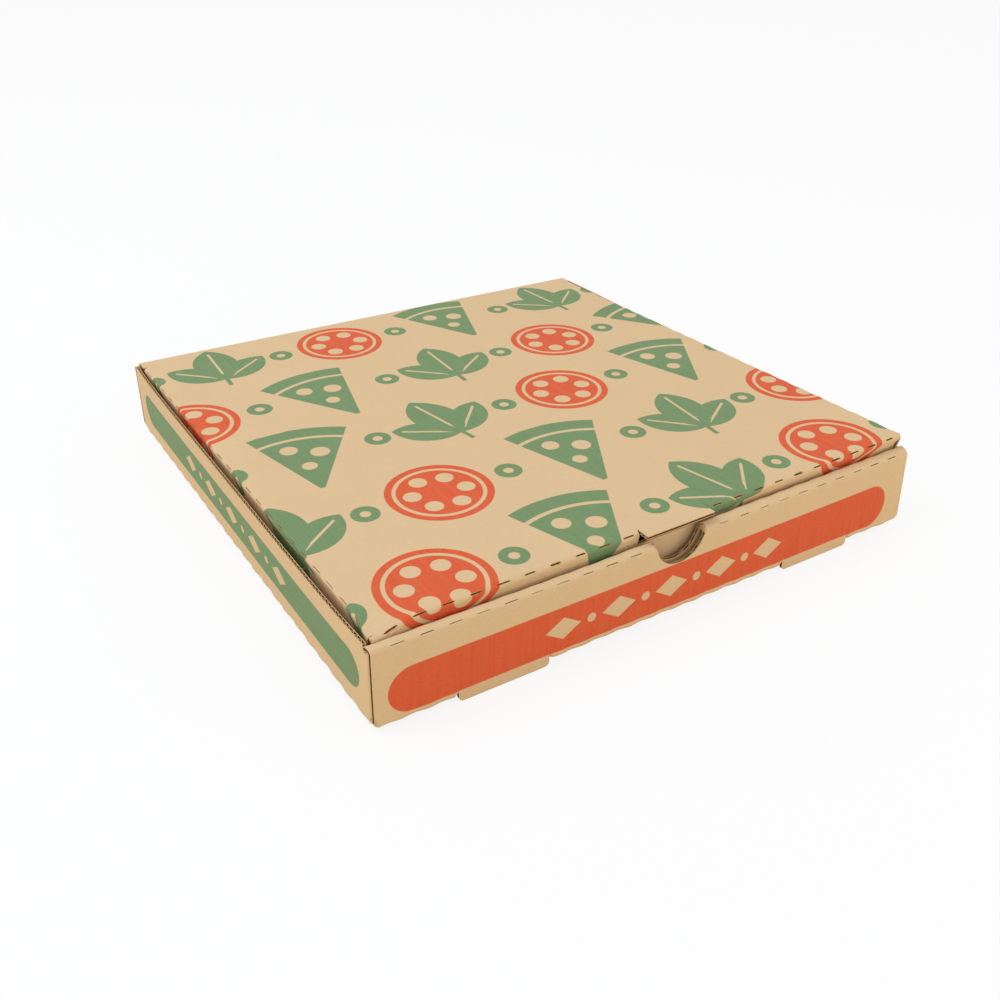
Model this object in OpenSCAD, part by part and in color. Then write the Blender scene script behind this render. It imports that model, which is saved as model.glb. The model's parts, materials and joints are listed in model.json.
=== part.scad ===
// Closed pizza box folded from one die-cut sheet of corrugated board.
// The sheet is split at the lid's back crease, so the tray and the lid are two solids.
// +Z is up, the front wall faces -Y, and the origin is under the middle of the box.

/* [Box] */
// Outside width over the two side walls
box_w = 286; // [240:1:340]
// Outside depth from the front wall to the back wall
box_d = 286; // [240:1:340]
// Height of the front and side walls over the underside of the bottom
wall_h = 36.2; // [32:0.2:52]

/* [Board] */
// Thickness of the corrugated board
board_t = 1.6; // [1.2:0.1:2.2]
// Inside radius of a crease
crease_r = 0.4; // [0.2:0.1:0.8]
// Gap between plies that lie against each other
ply_gap = 0.3; // [0.2:0.05:0.6]
// Width of a die cut
cut_w = 0.5; // [0.3:0.1:0.8]

/* [Perforation] */
// Distance from one cut of a perforated crease to the next
perf_pitch = 12; // [9:0.5:18]
// Length of one cut
perf_cut = 6; // [3:0.5:8]

/* [Front wall] */
// Radius of the thumb notch
notch_r = 13.2; // [9:0.2:18]
// Height of the thumb notch's middle over the ridge
notch_rise = 1; // [0:0.1:3]
// Length of a lock foot
foot_w = 42; // [28:1:56]
// Distance between the middles of the two lock feet
foot_pitch = 172; // [120:1:190]
// Depth of a lock foot under the bottom
foot_drop = 3.2; // [2.4:0.1:5]
// Radius of a lock foot's lower corners
foot_r = 2.2; // [0.6:0.1:2.4]
// Room round a lock tab in its slot
lock_gap = 0.6; // [0.3:0.1:1.2]

/* [Flaps] */
// Reach of the dust flaps that lie inside the front wall
front_dust = 70; // [40:1:90]
// Reach of the dust flaps that lie inside the back wall
rear_dust = 58; // [40:1:90]
// Narrowing of a flap at each end, from its crease to its free edge
flap_taper = 8; // [3:0.5:9]
// Radius of a flap's free corners
flap_r = 5; // [2:0.5:6]

/* [Lid] */
// Angle by which the closed lid stands up at the front
lid_lift = 0.9; // [0:0.1:2]
// Height of the lid's top over the side walls at its back crease
hinge_rise = 1.2; // [0:0.1:2]
// Gap between the lid's rounded back edge and the back wall
hinge_gap = 0.3; // [0.2:0.05:0.6]
// Room between the lid and the walls that it tucks behind
tuck_gap = 0.6; // [0.4:0.1:1.5]
// Room under the front flap, which holds the lid up
floor_gap = 0.5; // [0.3:0.1:2]
// Depth of the side flaps
side_flap = 29; // [20:0.5:31]
// Inward lean of the side flaps
side_lean = 2; // [0:0.5:6]
// Inward lean of the front flap past the lean at which it just swings clear
lean_spare = 1; // [0.5:0.5:4]
// Distance from the back crease to the side flaps
flap_start = 9; // [6:0.5:20]
// Width of the lift lip
lip_w = 36; // [24:1:60]
// Reach of the lift lip in front of the lid's front crease
lip_reach = 4.3; // [2:0.1:5.4]

/* [Hidden] */
$fn = 64;
kraft_tray = "#d2b384";
kraft_lid = "#dfc29b";
// Straight pieces in a flap's rounded corner
corner_steps = 8;
// Length by which a cutter runs past what it cuts
past = 1;

// Outside radius of a crease
fold_r = board_t + crease_r;
// Outer planes of the walls
front_y = -box_d / 2;
back_y = box_d / 2;
side_x = box_w / 2;
// The ridge spans the front wall, a dust flap and the inner wall
ridge_d = 3 * board_t + 2 * ply_gap;
// Height of the side walls' ends, which the ridge covers
under_ridge = wall_h - fold_r - ply_gap;
// Height of what stands on the bottom
floor_z = board_t + ply_gap;
// Width between the side walls that the inner wall and the lid take up
tuck_w = box_w - 2 * (board_t + tuck_gap);
// Length of the side walls between the creases of their dust flaps
side_len = box_d - 2 * (board_t + ply_gap + fold_r);
// Lock tabs stand in the slots that the feet leave open
slot_w = foot_w + 2 * cut_w;
slot_d = ridge_d + lock_gap;
tab_w = foot_w - 2 * lock_gap;
// Axis of the lid's back crease, in the middle of the board
hinge_y = back_y - board_t / 2;
hinge_z = wall_h + hinge_rise - board_t / 2;
back_h = hinge_z - board_t / 2 - hinge_gap;
// Lid from the hinge axis to the outside of its front crease
lid_d = box_d - board_t / 2 - ridge_d - tuck_gap;
// The front flap leans in, so that its free edge swings clear of the inner wall
front_lean = asin((wall_h + lid_d * sin(lid_lift)) / (2 * lid_d)) + lean_spare;
// Straight length of the front flap that brings it down to the floor
front_flap = (hinge_z - board_t - floor_gap
              + cos(lid_lift) * (board_t / 2 - fold_r * (1 + sin(front_lean)))
              + sin(lid_lift) * (lid_d - fold_r * (1 - cos(front_lean))))
             / cos(front_lean - lid_lift);

// Edge-on profiles of folded board. A profile is walked along +X with its
// outside face on y = 0, and every crease turns towards the inside face.
module ply(length)
    square([length, board_t]);

module crease(turn)
    translate([0, fold_r]) {
        intersection() {
            difference() {
                circle(fold_r);
                circle(crease_r);
            }
            polygon([[0, 0], for (share = [0, 0.5, 1]) 2 * fold_r * [sin(turn * share), -cos(turn * share)]]);
        }
        rotate(turn)
            translate([0, -fold_r])
                children();
    }

module ply_then_crease(length) {
    ply(length);
    translate([length, 0])
        crease(90)
            children();
}

// Stands a profile on the tray's bottom, walking outwards at an angle in plan
module up_strip(angle, length)
    rotate([90, 0, angle])
        linear_extrude(length, center = true)
            children();

// Hangs a profile from the lid's top face, walking outwards at an angle in plan
module down_strip(angle, length)
    translate([0, 0, board_t / 2])
        rotate([-90, 0, angle])
            linear_extrude(length, center = true)
                children();

// Both copies of what the left and right halves share
module both_sides() {
    children();
    mirror([1, 0, 0])
        children();
}

// A row of through cuts along a crease that runs in X, clear of a span at its middle.
// The crease bends about the X axis through the origin, on its +Z and -Y side.
module perforation(length, clear = 0) {
    count = floor(length / perf_pitch);
    for (i = [0 : count - 1]) {
        x = (i - (count - 1) / 2) * perf_pitch;
        if (abs(x) - perf_cut / 2 > clear)
            translate([x, 0, 0])
                rotate([45, 0, 0])
                    translate([-perf_cut / 2, -cut_w / 2, 0])
                        cube([perf_cut, cut_w, fold_r + past]);
    }
}

// Flap outline that narrows from its crease, across y = 0, to its round-cornered free edge
module flap_outline(length, depth) {
    slope = atan(flap_taper / (depth - fold_r));
    inset = flap_taper * (1 - flap_r / (depth - fold_r)) + flap_r / cos(slope);
    centre = [length / 2 - inset, depth - flap_r];
    right = [[length / 2, -fold_r],
             [length / 2, fold_r],
             for (i = [0 : corner_steps])
                 let (angle = slope + (90 - slope) * i / corner_steps)
                     centre + flap_r * [cos(angle), sin(angle)]];
    polygon([each right, for (i = [len(right) - 1 : -1 : 0]) [-right[i].x, right[i].y]]);
}

// Depth of a leaning flap's free edge under the lid's top face
function flap_depth(length, lean) = fold_r * (1 + sin(lean)) + length * cos(lean);

// Tray, with the underside of its bottom on z = 0
module bottom()
    difference() {
        translate([-side_x + fold_r, front_y + fold_r, 0])
            cube([box_w - 2 * fold_r, box_d - 2 * fold_r, board_t]);
        both_sides()
            lock_slot();
    }

module lock_slot()
    translate([(foot_pitch - slot_w) / 2, front_y - past, -past])
        cube([slot_w, slot_d + past, fold_r + past]);

// Side wall, whose top steps down under the end of the ridge
module side_wall()
    difference() {
        translate([side_x - fold_r, 0, 0])
            up_strip(0, side_len)
                crease(90)
                    ply(wall_h - fold_r);
        translate([side_x - fold_r, front_y, under_ridge])
            cube([fold_r + past, ridge_d + ply_gap, wall_h - under_ridge + past]);
    }

// Dust flap of the right wall, folded in across the front (end -1) or the back (end 1)
module dust_flap(end, reach) {
    flap_h = under_ridge - ply_gap - floor_z;
    translate([side_x, end * side_len / 2, floor_z + flap_h / 2])
        intersection() {
            mirror([0, end < 0 ? 1 : 0, 0])
                linear_extrude(flap_h, center = true)
                    rotate(90)
                        translate([-fold_r, 0])
                            ply_then_crease(fold_r)
                                ply(reach);
            rotate([90, 0, 0])
                rotate(90)
                    linear_extrude(2 * (fold_r + past), center = true)
                        flap_outline(flap_h, reach);
        }
}

// Front panel, ridge and inner wall, walked as one profile up, back and down to the floor
module front_wall() {
    difference() {
        translate([0, front_y + fold_r, 0])
            up_strip(-90, box_w)
                crease(90)
                    ply_then_crease(wall_h - 2 * fold_r)
                        ply_then_crease(ridge_d - 2 * fold_r)
                            ply(wall_h - fold_r - floor_z);
        both_sides() {
            lock_slot();
            corner_relief();
            inner_end();
        }
        translate([0, front_y - past, wall_h + notch_rise])
            rotate([-90, 0, 0])
                cylinder(h = ridge_d + 2 * past, r = notch_r);
        translate([0, front_y + fold_r, wall_h - fold_r])
            perforation(tuck_w, notch_r);
        translate([0, front_y + ridge_d - fold_r, wall_h - fold_r])
            mirror([0, 1, 0])
                perforation(tuck_w, notch_r);
    }
    both_sides()
        lock_tab();
}

// Keeps the ends of the front and back creases clear of the side walls' creases
module corner_relief()
    translate([side_x - fold_r, front_y - past, -past])
        cube([fold_r + past, box_d + 2 * past, fold_r + past]);

// Ends the inner wall between the side walls
module inner_end()
    translate([tuck_w / 2, front_y + ridge_d - board_t - ply_gap, -past])
        cube([side_x - tuck_w / 2 + past, board_t + ply_gap + past, wall_h - fold_r + past]);

// Tab under the inner wall that stands in the slot behind a foot
module lock_tab()
    translate([(foot_pitch - tab_w) / 2, front_y + ridge_d - board_t, 0])
        cube([tab_w, board_t, floor_z + past]);

// Foot cut from the bottom, standing straight down from the front panel
module lock_foot()
    translate([foot_pitch / 2, front_y + board_t, 0])
        rotate([90, 0, 0])
            linear_extrude(board_t) {
                translate([-foot_w / 2, foot_r - foot_drop])
                    square([foot_w, foot_drop - foot_r + fold_r + past]);
                translate([-foot_w / 2 + foot_r, -foot_drop])
                    square([foot_w - 2 * foot_r, foot_drop]);
                for (x = [-1, 1] * (foot_w / 2 - foot_r))
                    translate([x, foot_r - foot_drop])
                        circle(foot_r);
            }

module back_wall()
    difference() {
        translate([0, back_y - fold_r, 0])
            up_strip(90, box_w)
                crease(90)
                    ply(back_h - fold_r);
        both_sides()
            corner_relief();
    }

module tray()
    color(kraft_tray)
        translate([0, 0, foot_drop]) {
            bottom();
            both_sides() {
                side_wall();
                dust_flap(-1, front_dust);
                dust_flap(1, rear_dust);
                lock_foot();
            }
            front_wall();
            back_wall();
        }

// Lid, level, with its hinge axis along X through the origin
module lid_panel() {
    panel_w = tuck_w - 2 * fold_r;
    translate([-panel_w / 2, fold_r - lid_d, -board_t / 2])
        cube([panel_w, lid_d - fold_r, board_t]);
    translate([-tuck_w / 2, cut_w - flap_start, -board_t / 2])
        cube([tuck_w, flap_start - cut_w, board_t]);
    rotate([0, 90, 0])
        cylinder(h = tuck_w, d = board_t, center = true);
    translate([-lip_w / 2, -lid_d - lip_reach, -board_t / 2])
        cube([lip_w, lip_reach + fold_r + past, board_t]);
}

module lid_front_flap() {
    flap_w = tuck_w - 2 * fold_r;
    // The lip is cut from the flap, so the flap is open to the lip's own depth
    window_w = lip_w + 2 * cut_w;
    window_h = fold_r + lip_reach + cut_w;
    translate([0, fold_r - lid_d, 0])
        difference() {
            intersection() {
                down_strip(-90, flap_w)
                    crease(90 + front_lean)
                        ply(front_flap + past);
                translate([0, fold_r + past, board_t / 2])
                    rotate([90, 0, 0])
                        mirror([0, 1, 0])
                            linear_extrude(2 * (fold_r + past) + wall_h, center = true)
                                flap_outline(flap_w, flap_depth(front_flap, front_lean));
            }
            translate([-window_w / 2, -fold_r - past, board_t / 2 - window_h])
                cube([window_w, 2 * fold_r + past, window_h + past]);
            translate([0, 0, board_t / 2 - fold_r])
                perforation(flap_w, window_w / 2);
        }
}

module lid_side_flap() {
    flap_l = lid_d - fold_r - flap_start;
    translate([tuck_w / 2 - fold_r, -flap_start - flap_l / 2, 0])
        difference() {
            intersection() {
                down_strip(0, flap_l)
                    crease(90 + side_lean)
                        ply(side_flap);
                translate([0, 0, board_t / 2])
                    rotate([90, 0, 90])
                        mirror([0, 1, 0])
                            linear_extrude(2 * (fold_r + past), center = true)
                                flap_outline(flap_l, side_flap);
            }
            translate([0, 0, board_t / 2 - fold_r])
                rotate([0, 0, 90])
                    perforation(flap_l);
        }
}

module lid()
    color(kraft_lid)
        translate([0, hinge_y, hinge_z + foot_drop])
            rotate([-lid_lift, 0, 0]) {
                lid_panel();
                lid_front_flap();
                both_sides()
                    lid_side_flap();
            }

tray();
lid();
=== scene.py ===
# Looks of a closed pizza box, folded from one die-cut sheet of corrugated board.
# Each half of the sheet is drawn flat, meshed, and then folded and bent into place.
import json
import math
import random

import bpy
import numpy as np
from mathutils import Matrix, Vector
from mathutils.geometry import delaunay_2d_cdt


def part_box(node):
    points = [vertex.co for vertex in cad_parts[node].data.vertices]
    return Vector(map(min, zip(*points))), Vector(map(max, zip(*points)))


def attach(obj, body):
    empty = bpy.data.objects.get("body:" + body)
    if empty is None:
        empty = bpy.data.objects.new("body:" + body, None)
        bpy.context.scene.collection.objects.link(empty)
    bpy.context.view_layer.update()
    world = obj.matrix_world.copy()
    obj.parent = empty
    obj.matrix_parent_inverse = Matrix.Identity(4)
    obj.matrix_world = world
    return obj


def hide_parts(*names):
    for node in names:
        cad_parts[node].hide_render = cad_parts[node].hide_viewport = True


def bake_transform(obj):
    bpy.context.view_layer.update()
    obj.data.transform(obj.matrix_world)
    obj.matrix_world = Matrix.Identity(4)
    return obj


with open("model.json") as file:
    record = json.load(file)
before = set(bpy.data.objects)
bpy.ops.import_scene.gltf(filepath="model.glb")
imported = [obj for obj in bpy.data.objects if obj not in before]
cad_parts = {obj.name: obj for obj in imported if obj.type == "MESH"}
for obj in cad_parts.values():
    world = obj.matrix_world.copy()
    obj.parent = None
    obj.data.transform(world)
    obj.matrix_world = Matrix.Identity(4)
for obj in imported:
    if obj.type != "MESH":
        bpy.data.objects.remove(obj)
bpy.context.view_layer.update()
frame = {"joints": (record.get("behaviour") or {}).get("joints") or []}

# Lengths below are millimetres, and turn into metres when a mesh is made
MM = 0.001

# Board, as the solids have it
BOARD = 1.6
FOLD = 2.0
PLY_GAP = 0.3
CUT = 0.5
NEUTRAL = FOLD - BOARD / 2

# Cuts and flaps, as the solids have them
PERF_PITCH = 12
PERF_CUT = 6
NOTCH_R = 13.2
NOTCH_RISE = 1
FOOT_W = 42
FOOT_PITCH = 172
FOOT_DROP = 3.2
FOOT_R = 2.2
LOCK_GAP = 0.6
FRONT_DUST = 70
REAR_DUST = 58
TAPER = 8
FLAP_CORNER_R = 5
LIFT = math.radians(0.9)
LEAN_SPARE = math.radians(1)
SIDE_LEAN = math.radians(2)
SIDE_FLAP = 29
FLAP_START = 9
LIP_W = 36
LIP_REACH = 4.3
TUCK_GAP = 0.6
FLOOR_GAP = 0.5


def node_box(name):
    low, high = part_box(name)
    return np.array(low) / MM, np.array(high) / MM


# Overall sizes and the hinge, from the frame
tray_low, tray_high = node_box("tray")
lid_low, lid_high = node_box("lid")
BOX_W, BOX_D, BOX_H = (tray_high - tray_low).tolist()
TUCK_W = float(lid_high[0] - lid_low[0])
HINGE_Y, HINGE_Z = (np.array(frame["joints"][0]["pos_m"][1:]) / MM).tolist()
WALL_H = BOX_H - FOOT_DROP
RIDGE_D = 3 * BOARD + 2 * PLY_GAP
UNDER_RIDGE = WALL_H - FOLD - PLY_GAP
SIDE_LEN = BOX_D - 2 * (BOARD + PLY_GAP + FOLD)
LID_D = BOX_D - BOARD / 2 - RIDGE_D - TUCK_GAP
FRONT_LEAN = math.asin((WALL_H + LID_D * math.sin(LIFT)) / (2 * LID_D)) + LEAN_SPARE

# Corrugation
FLUTE_PITCH = 2.9
LINER = 0.28
GROOVE = 1.0
MEDIUM = 0.3
MEDIUM_RECESS = 0.12
FLUTE_SAMPLES = 7
DRIFT = 0.35
DRIFT_LENGTH = 23
DRIFT_SLOPE = 0.01

# Widest opening of a perforation cut
FRONT_SLIT = 0.7
SIDE_SLIT = 0.3
RIDGE_SLIT = 0.2

# Bends that the folded board takes
SIDE_BOW = 1.5
FRONT_BOW = 1.1
LEAN_BACK = 2.4
RIDGE_RISE = 1.9
LID_LEFT = -1.3
LID_RIGHT = 3.1
LID_SAG = 0.7
LID_SKEW = 0.5
FLAP_PUSH = 2.2
FLAP_INSET = 1.3
CORNER_DIP = 4.0
DIP_REACH = 10

# Where the bends set in: depths under the lid, shares of its length, and distances in from the outline
INSET_SPAN = (0.8, 5.5)
PUSH_SPAN = (BOARD, BOARD + 5)
PUSH_ZONE = (0.85, 0.95)
SIDE_FADE = (12, 3)
FRONT_FADE = (24, 9)
LEAN_FADE = (100, 9)
RIDGE_FADE = 10

# Places along x between which the ridge comes up
RISE_SPAN = (-60, 50)

# How full the bowed walls are, along the side walls and up the side and front walls
ARCH_POWER = 6
SIDE_POWER = 1.5
FRONT_POWER = 1.3

# Creases: how far their waves stand out, and how far they are squeezed to an edge
FRONT_SCALLOP = 0.22
RIDGE_SCALLOP = 0.08
BOTTOM_SCALLOP = 0.2
LID_SCALLOP = 0.12
SCALLOP_REACH = 1.6
SQUEEZE = 0.6
SQUEEZE_REACH = 0.8
SLOW_SHARE = 0.4
SLOW_PITCH = 31
SCALLOP_FADE = 6


def crease_length(turn):
    return turn * NEUTRAL


RIGHT_ANGLE = math.pi / 2
SQUARE = crease_length(RIGHT_ANGLE)

# Flat tray: half sizes of the bottom and distances along the strips that leave it
HALF_U = BOX_W / 2 - FOLD
HALF_V = BOX_D / 2 - FOLD
SIDE_RISE = WALL_H - FOLD
FRONT_RISE = WALL_H - 2 * FOLD
RIDGE_FLAT = RIDGE_D - 2 * FOLD
INNER_RISE = WALL_H - FOLD - BOARD - PLY_GAP
BACK_RISE = HINGE_Z + BOARD / 2 - FOLD - FOOT_DROP - FOLD
PANEL_END = SQUARE + FRONT_RISE
RIDGE_START = PANEL_END + SQUARE
RIDGE_END = RIDGE_START + RIDGE_FLAT
INNER_START = RIDGE_END + SQUARE
INNER_END = INNER_START + INNER_RISE
TAB_END = INNER_END + BOARD + PLY_GAP
HINGE_START = HALF_V + SQUARE + BACK_RISE
FOOT_END = SQUARE - FOLD - FOOT_DROP
SLOT_END = FOLD - RIDGE_D - LOCK_GAP

# Flat lid, measured forwards from the hinge axis
PANEL_U = TUCK_W / 2 - FOLD
LID_START = FOLD - BOARD / 2
LID_FRONT = LID_D - FOLD
FRONT_TURN = RIGHT_ANGLE + FRONT_LEAN
SIDE_TURN = RIGHT_ANGLE + SIDE_LEAN
HINGE_TURN = RIGHT_ANGLE - LIFT
FRONT_CREASE = crease_length(FRONT_TURN)
SIDE_CREASE = crease_length(SIDE_TURN)
LIP_END = LID_D + LIP_REACH
WINDOW_END = LIP_END + CUT
FLAP_OVER = 1.5


def front_flap_length():
    """Straight length of the lid's front flap that brings it down to the floor."""
    height = HINGE_Z - FOOT_DROP - BOARD - FLOOR_GAP
    crease_fall = math.cos(LIFT) * (BOARD / 2 - FOLD * (1 + math.sin(FRONT_LEAN)))
    panel_rise = math.sin(LIFT) * (LID_D - FOLD * (1 - math.cos(FRONT_LEAN)))
    return (height + crease_fall + panel_rise) / math.cos(FRONT_LEAN - LIFT)


FRONT_FLAP = front_flap_length()

# Perforation cuts: shares of their widest opening and of their length, and their points in widths
SLIT_OPEN = (0.45, 1)
SLIT_LENGTH = (0.85, 1.05)
SLIT_POINT = 2
SEED = 11
chance = random.Random(SEED)


def smoothstep(low, high, value):
    share = np.clip((value - low) / (high - low), 0, 1)
    return share * share * (3 - 2 * share)


# Flat outlines
def spread(start, stop, step):
    """Evenly spaced values from start to stop, about a step apart."""
    return np.linspace(start, stop, max(1, round(abs(stop - start) / step)) + 1)


def grid(us, vs):
    return [(u, v) for u in us for v in vs]


def rectangle(u0, u1, v0, v1):
    return [(u0, v0), (u1, v0), (u1, v1), (u0, v1)]


def rounded(corners, radii, steps=5):
    """Outline through corners, each rounded by its own radius."""
    outline = []
    for i, radius in enumerate(radii):
        corner = np.array(corners[i])
        before = np.array(corners[i - 1]) - corner
        after = np.array(corners[(i + 1) % len(corners)]) - corner
        before = before / np.linalg.norm(before)
        after = after / np.linalg.norm(after)
        if radius == 0:
            outline.append(tuple(corner))
            continue
        half = math.acos(np.dot(before, after)) / 2
        middle = (before + after) / np.linalg.norm(before + after)
        centre = corner + middle * radius / math.sin(half)
        first = corner + before * radius / math.tan(half) - centre
        last = corner + after * radius / math.tan(half) - centre
        span = math.pi - 2 * half
        for share in np.linspace(0, 1, steps):
            blend = math.sin((1 - share) * span) * first + math.sin(share * span) * last
            outline.append(tuple(centre + blend / math.sin(span)))
    return outline


def mirrored(outline):
    return [(-u, v) for u, v in outline]


def flipped(outline):
    return [(u, -v) for u, v in outline]


def turned(outline):
    """Outline with its two axes swapped."""
    return [(v, u) for u, v in outline]


def flap(half_base, base, crease, reach, radius=FLAP_CORNER_R):
    """Flap that leaves the line v = base, narrowing from its crease to its rounded free edge."""
    tip = half_base - TAPER
    corners = [
        (-half_base, base),
        (half_base, base),
        (half_base, base + crease),
        (tip, base + crease + reach),
        (-tip, base + crease + reach),
        (-half_base, base + crease),
    ]
    return rounded(corners, [0, 0, 0, radius, radius, 0])


def shifted(outline, du, dv):
    return [(u + du, v + dv) for u, v in outline]


def slit(u, v, widest):
    """Perforation cut along u, pointed at both ends, some of them more open than others."""
    width = widest * chance.uniform(*SLIT_OPEN)
    half = PERF_CUT / 2 * chance.uniform(*SLIT_LENGTH)
    shoulder = half - SLIT_POINT * width
    ends = [(-half, 0), (-shoulder, -width / 2), (shoulder, -width / 2)]
    ends += [(half, 0), (shoulder, width / 2), (-shoulder, width / 2)]
    return shifted(ends, u, v)


def perforation(length, clear=0):
    """Middles of the cuts of a perforated crease, clear of a span at its middle."""
    count = math.floor(length / PERF_PITCH)
    middles = (np.arange(count) - (count - 1) / 2) * PERF_PITCH
    return [u for u in middles if abs(u) - PERF_CUT / 2 > clear]


# Folding
def walk(path, s, w):
    """Point of a folded profile at flat distance s and depth w under its outside face.

    The path lists straight lengths and the turns that follow them, each towards the inside.
    """
    points = np.zeros((len(s), 2))
    at = np.zeros(2)
    heading = 0.0
    begun = 0.0
    for length, turn in path:
        tangent = np.array([math.cos(heading), math.sin(heading)])
        inward = np.array([-tangent[1], tangent[0]])
        straight = s >= begun if begun > 0 else s >= -np.inf
        points[straight] = (at + np.outer(s - begun, tangent) + np.outer(w, inward))[straight]
        at = at + length * tangent
        begun = begun + length
        if turn == 0:
            break
        bent = s > begun
        angle = heading + np.clip((s - begun) / crease_length(turn), 0, 1) * turn
        centre = at + FOLD * inward
        spoke = np.stack([np.sin(angle), -np.cos(angle)], axis=1)
        points[bent] = (centre + (FOLD - w)[:, None] * spoke)[bent]
        heading = heading + turn
        at = centre + FOLD * np.array([math.sin(heading), -math.cos(heading)])
        begun = begun + crease_length(turn)
    return points[:, 0], points[:, 1]


CORNER = [(0, RIGHT_ANGLE), (1, 0)]
ROLLOVER = [(0, RIGHT_ANGLE), (FRONT_RISE, RIGHT_ANGLE), (RIDGE_FLAT, RIGHT_ANGLE), (1, 0)]


def on_foot(u):
    return np.abs(np.abs(u) - FOOT_PITCH / 2) < FOOT_W / 2 + CUT / 2


def scallop(gap, along, height):
    """Waves of a perforated crease, from the distance to its middle and the place along it."""
    wave = np.cos(2 * np.pi * along / PERF_PITCH)
    wave = wave + SLOW_SHARE * np.sin(2 * np.pi * along / SLOW_PITCH)
    return height * wave * np.exp(-((gap / SCALLOP_REACH) ** 2))


def squeezed(gap):
    """Height of a crease squeezed to an edge, from the distance to its middle."""
    return SQUEEZE * np.exp(-((gap / SQUEEZE_REACH) ** 2))


def squeezed_waves(gap, along):
    return squeezed(gap) + scallop(gap, along, BOTTOM_SCALLOP)


def tray_relief(u, v):
    """Height by which the flat tray's outside face stands out or in."""
    ahead = -v - HALF_V
    height = scallop(ahead - PANEL_END - SQUARE / 2, u, FRONT_SCALLOP)
    height += scallop(ahead - RIDGE_END - SQUARE / 2, u, RIDGE_SCALLOP)
    on_wall = np.abs(u) > BOX_W / 2 + CUT / 4
    on_end = ~on_wall & ~(on_foot(u) & (v < 0))
    height += np.where(on_end, squeezed_waves(np.abs(v) - HALF_V - SQUARE / 2, u), 0)
    on_side = np.abs(v) < HALF_V + CUT / 4
    height += np.where(on_side, squeezed_waves(np.abs(u) - HALF_U - SQUARE / 2, v), 0)
    height += np.where(on_wall, squeezed(np.abs(v) - SIDE_LEN / 2 - SQUARE / 2), 0)
    return height


def fold_tray(u, v, w):
    """Folds the flat tray; its outside face lies at w = 0."""
    w = w - tray_relief(u, v) * (1 - w / BOARD)
    x, y, z = u.copy(), v.copy(), w.copy()
    across = np.abs(u) - HALF_U
    side = across > 0
    out, up = walk(CORNER, across, w)
    x[side] = (np.sign(u) * (HALF_U + out))[side]
    z[side] = up[side]
    past_end = np.abs(v) - SIDE_LEN / 2
    in_width = np.abs(u) < BOX_W / 2 + CUT / 4
    dust = side & (past_end > 0) & ~in_width
    along, inwards = walk(CORNER, past_end, w)
    x[dust] = (np.sign(u) * (BOX_W / 2 - inwards))[dust]
    y[dust] = (np.sign(v) * (SIDE_LEN / 2 + along))[dust]
    z[dust] = (FOLD + across - SQUARE)[dust]
    ahead = -v - HALF_V
    front = (ahead > 0) & in_width
    front |= on_foot(u) & (ahead > FOOT_END - CUT / 4)
    out, up = walk(ROLLOVER, ahead, w)
    foot = on_foot(u) & (ahead < SQUARE)
    out[foot] = (FOLD - w)[foot]
    up[foot] = (FOLD + ahead - SQUARE)[foot]
    x[front] = u[front]
    y[front] = -(HALF_V + out)[front]
    z[front] = up[front]
    behind = v - HALF_V
    back = (behind > 0) & in_width
    out, up = walk(CORNER, behind, w)
    x[back] = u[back]
    y[back] = (HALF_V + out)[back]
    z[back] = up[back]
    return bend_tray(x, y, z + FOOT_DROP)


def rightwards(x):
    """Share of the way from the box's left side to its right side."""
    return np.clip(x / BOX_W + 0.5, 0, 1)


def near_edge(half, fade, place):
    """Share that grows from nothing inside the outline to one near it."""
    return smoothstep(half - fade[0], half - fade[1], place)


def bend_tray(x, y, z):
    """The walls bulge between their corners; the front wall leans back and rises to the right."""
    share = np.clip((z - FOOT_DROP) / WALL_H, 0, 1)
    at_side = near_edge(BOX_W / 2, SIDE_FADE, np.abs(x))
    at_front = near_edge(BOX_D / 2, FRONT_FADE, -y)
    near_front = near_edge(BOX_D / 2, LEAN_FADE, -y)
    side_arch = 1 - np.clip(np.abs(2 * y / BOX_D), 0, 1) ** ARCH_POWER
    front_arch = np.cos(np.pi * np.clip(x / BOX_W, -0.5, 0.5))
    depth = (y + BOX_D / 2) / (RIDGE_D + PLY_GAP / 2)
    on_ridge = np.where(depth < 1, np.clip(depth, 0, 1), 0)
    at_top = smoothstep(WALL_H - RIDGE_FADE, WALL_H, z - FOOT_DROP)
    bent_x = x + np.sign(x) * SIDE_BOW * side_arch * share**SIDE_POWER * at_side
    bent_y = y - FRONT_BOW * front_arch * share**FRONT_POWER * at_front
    bent_y = bent_y + LEAN_BACK * share * rightwards(x) * near_front
    rise = RIDGE_RISE * smoothstep(*RISE_SPAN, x)
    return bent_x, bent_y, z + rise * at_top * on_ridge


def lid_relief(u, t):
    """Height by which the flat lid's outside face stands out or in."""
    clear_of_lip = smoothstep(LIP_W / 2, LIP_W / 2 + SCALLOP_FADE, np.abs(u))
    height = clear_of_lip * scallop(t - LID_FRONT - FRONT_CREASE / 2, u, LID_SCALLOP)
    clear_of_hinge = smoothstep(FLAP_START, FLAP_START + SCALLOP_FADE, t)
    height += clear_of_hinge * scallop(np.abs(u) - PANEL_U - SIDE_CREASE / 2, t, LID_SCALLOP)
    return height


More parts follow.
